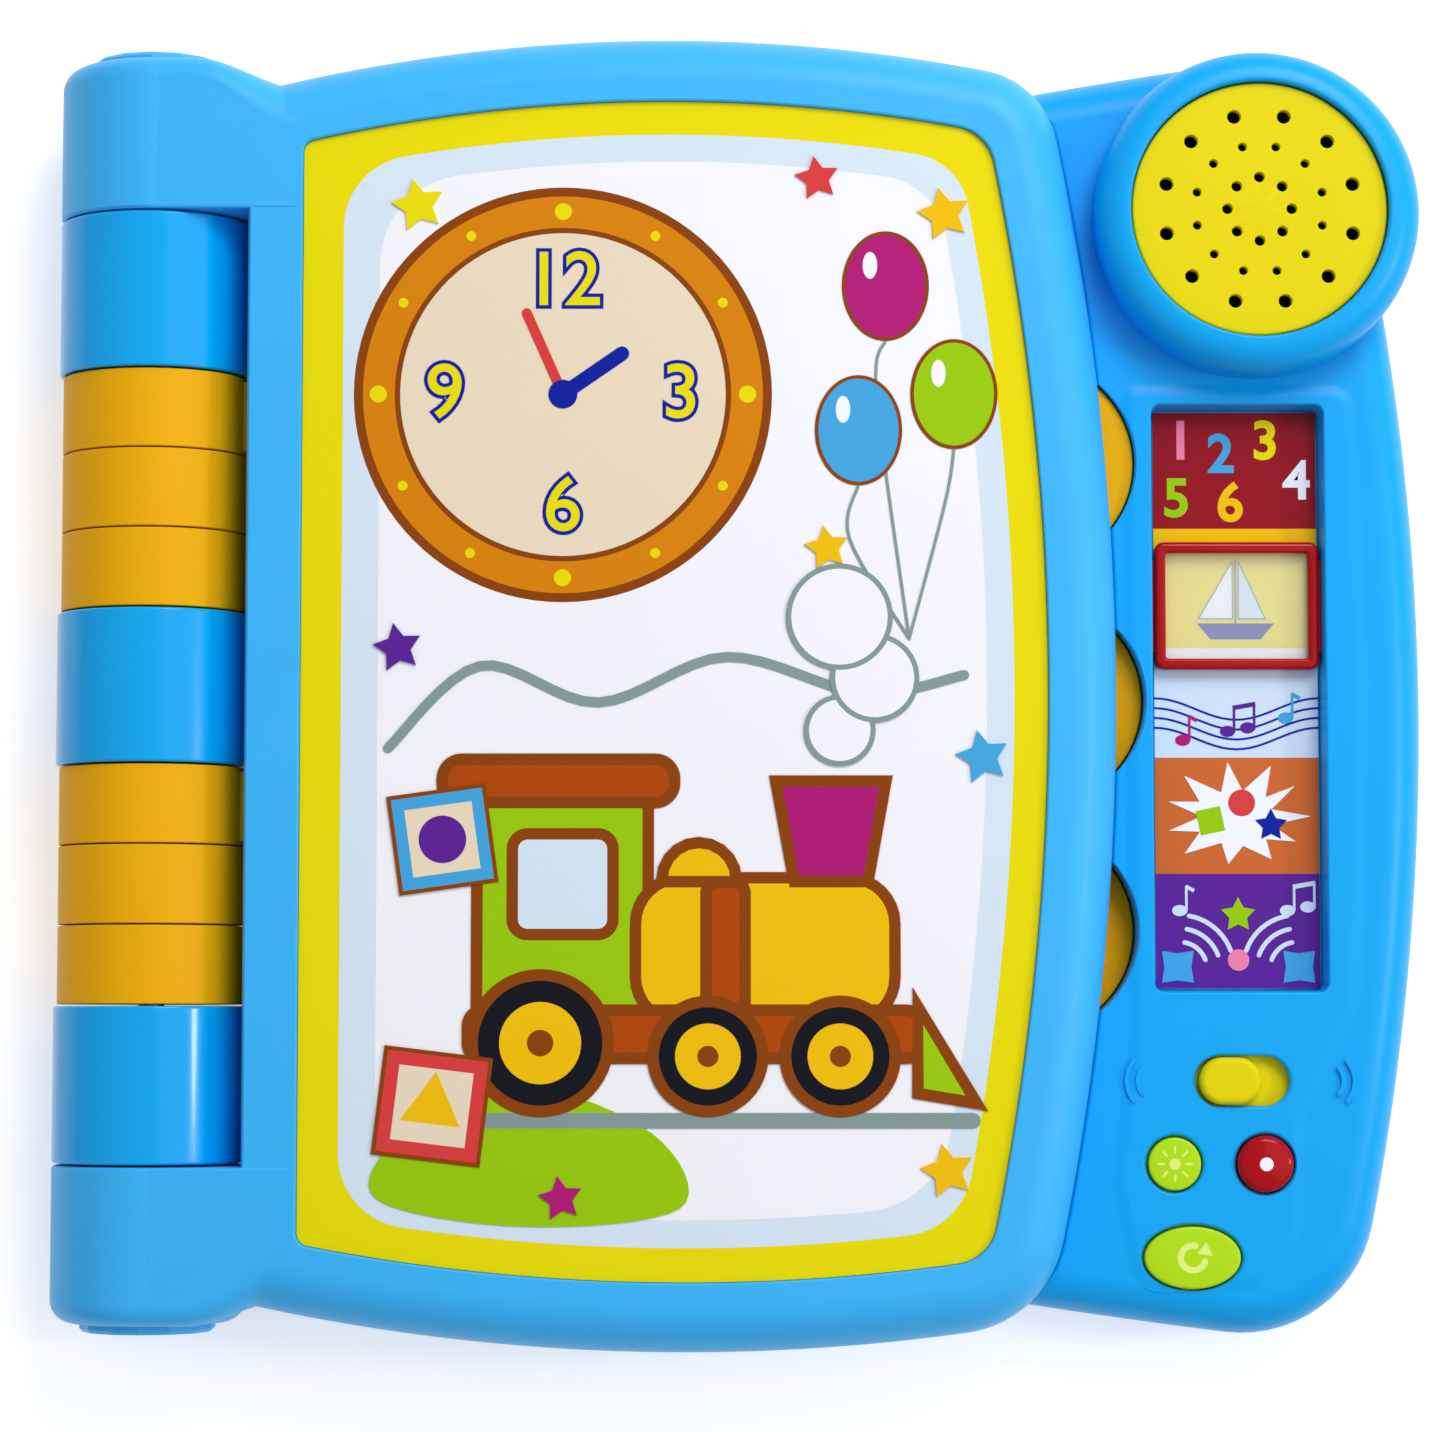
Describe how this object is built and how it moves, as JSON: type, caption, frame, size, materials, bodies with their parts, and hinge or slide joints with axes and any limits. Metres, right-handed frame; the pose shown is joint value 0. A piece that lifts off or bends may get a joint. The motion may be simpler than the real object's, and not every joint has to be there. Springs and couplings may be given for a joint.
{
  "type": "sound book",
  "caption": "Hard plastic toy book that plays sounds: ringed spine, hinged cover and tabbed pages, speaker turret, mode slider, volume slide and push buttons.",
  "frame": {"origin": "centre of the footprint, on the table", "axes": "+X from the spine to the control panel, +Y up the page, +Z out of the cover; the book lies closed on its back"},
  "size_m": [0.3046, 0.2906, 0.043],
  "materials": {
    "base_plastic": "smooth moulded, glossy",
    "cover_plastic": "smooth moulded, satin gloss",
    "page_plastic": "moulded, satin",
    "printed_card": "printed and laminated",
    "yellow_plastic": "moulded, satin gloss",
    "green_plastic": "moulded, satin gloss",
    "red_plastic": "moulded, glossy",
    "clear_plastic": "clear, polished",
    "steel": "plated",
    "magnet_iron": "dull ferrite",
    "speaker_paper": "pressed paper, matte",
    "circuit_board": "lacquered board",
    "black_plastic": "moulded, matte",
    "rubber": "soft, matte",
    "membrane_film": "film",
    "cell_jacket": "printed sleeve, plain"
  },
  "bodies": {
    "base": {"base_lower_shell": "base_plastic", "base_upper_shell": "base_plastic", "speaker_grille": "yellow_plastic", "battery_door": "base_plastic", "hinge_rod": "steel", "speaker_basket": "steel", "speaker_cone": "speaker_paper", "speaker_magnet": "magnet_iron", "main_board": "circuit_board", "sound_chip": "black_plastic", "key_board": "circuit_board", "keypad": "rubber", "volume_switch": "black_plastic", "mode_membrane": "membrane_film", "mode_strip": "printed_card", "battery_cell_1": "cell_jacket", "battery_cell_2": "cell_jacket", "battery_cell_3": "cell_jacket", "battery_spring_1": "steel", "battery_spring_2": "steel", "battery_spring_3": "steel", "battery_contact_low": "steel", "battery_contact_high": "steel", "base_screw_1": "steel", "base_screw_2": "steel", "base_screw_3": "steel", "base_screw_4": "steel", "base_screw_5": "steel", "base_screw_6": "steel", "base_screw_7": "steel", "base_screw_8": "steel"},
    "cover": {"cover_frame": "cover_plastic", "cover_print": "printed_card", "cover_back_panel": "cover_plastic", "spine_cap_top": "cover_plastic", "spine_cap_bottom": "cover_plastic", "cover_screw_1": "steel", "cover_screw_2": "steel", "cover_screw_3": "steel", "cover_screw_4": "steel", "cover_screw_5": "steel", "cover_screw_6": "steel"},
    "page_1": {"page_1_leaf": "page_plastic", "page_1_card_front": "printed_card", "page_1_card_back": "printed_card"},
    "page_2": {"page_2_leaf": "page_plastic", "page_2_card_front": "printed_card", "page_2_card_back": "printed_card"},
    "page_3": {"page_3_leaf": "page_plastic", "page_3_card_front": "printed_card", "page_3_card_back": "printed_card"},
    "mode_slider": {"mode_slider_frame": "red_plastic", "mode_slider_pane": "clear_plastic"},
    "volume_slider": {"volume_slider": "yellow_plastic"},
    "button_green": {"button_green": "green_plastic"},
    "button_red": {"button_red": "red_plastic"},
    "button_oval": {"button_oval": "green_plastic"}
  },
  "joints": [
    {"name": "cover_hinge", "type": "hinge", "parent": "base", "child": "cover", "pos_m": [-0.13076, 0, 0.0215], "axis": [0, -1, 0], "range_deg": [0, 180]},
    {"name": "page_1_hinge", "type": "hinge", "parent": "base", "child": "page_1", "pos_m": [-0.13076, 0, 0.0215], "axis": [0, -1, 0], "range_deg": [0, 176.4]},
    {"name": "page_2_hinge", "type": "hinge", "parent": "base", "child": "page_2", "pos_m": [-0.13076, 0, 0.0215], "axis": [0, -1, 0], "range_deg": [0, 171.9]},
    {"name": "page_3_hinge", "type": "hinge", "parent": "base", "child": "page_3", "pos_m": [-0.13076, 0, 0.0215], "axis": [0, -1, 0], "range_deg": [0, 167.4]},
    {"name": "mode_slide", "type": "slide", "parent": "base", "child": "mode_slider", "axis": [0, 1, 0], "range_m": [-0.0705, 0.029]},
    {"name": "volume_slide", "type": "slide", "parent": "base", "child": "volume_slider", "axis": [1, 0, 0], "range_m": [0, 0.006]},
    {"name": "green_press", "type": "slide", "parent": "base", "child": "button_green", "axis": [0, 0, -1], "range_m": [0, 0.0012], "stiffness_N_per_m": 300, "springref_m": -0.0008},
    {"name": "red_press", "type": "slide", "parent": "base", "child": "button_red", "axis": [0, 0, -1], "range_m": [0, 0.0012], "stiffness_N_per_m": 300, "springref_m": -0.0008},
    {"name": "oval_press", "type": "slide", "parent": "base", "child": "button_oval", "axis": [0, 0, -1], "range_m": [0, 0.0012], "stiffness_N_per_m": 300, "springref_m": -0.0008}
  ],
  "couplings": [
    {"joint": "page_1_hinge", "follows": "cover_hinge", "ratio": 0.98},
    {"joint": "page_2_hinge", "follows": "cover_hinge", "ratio": 0.955},
    {"joint": "page_3_hinge", "follows": "cover_hinge", "ratio": 0.93}
  ]
}
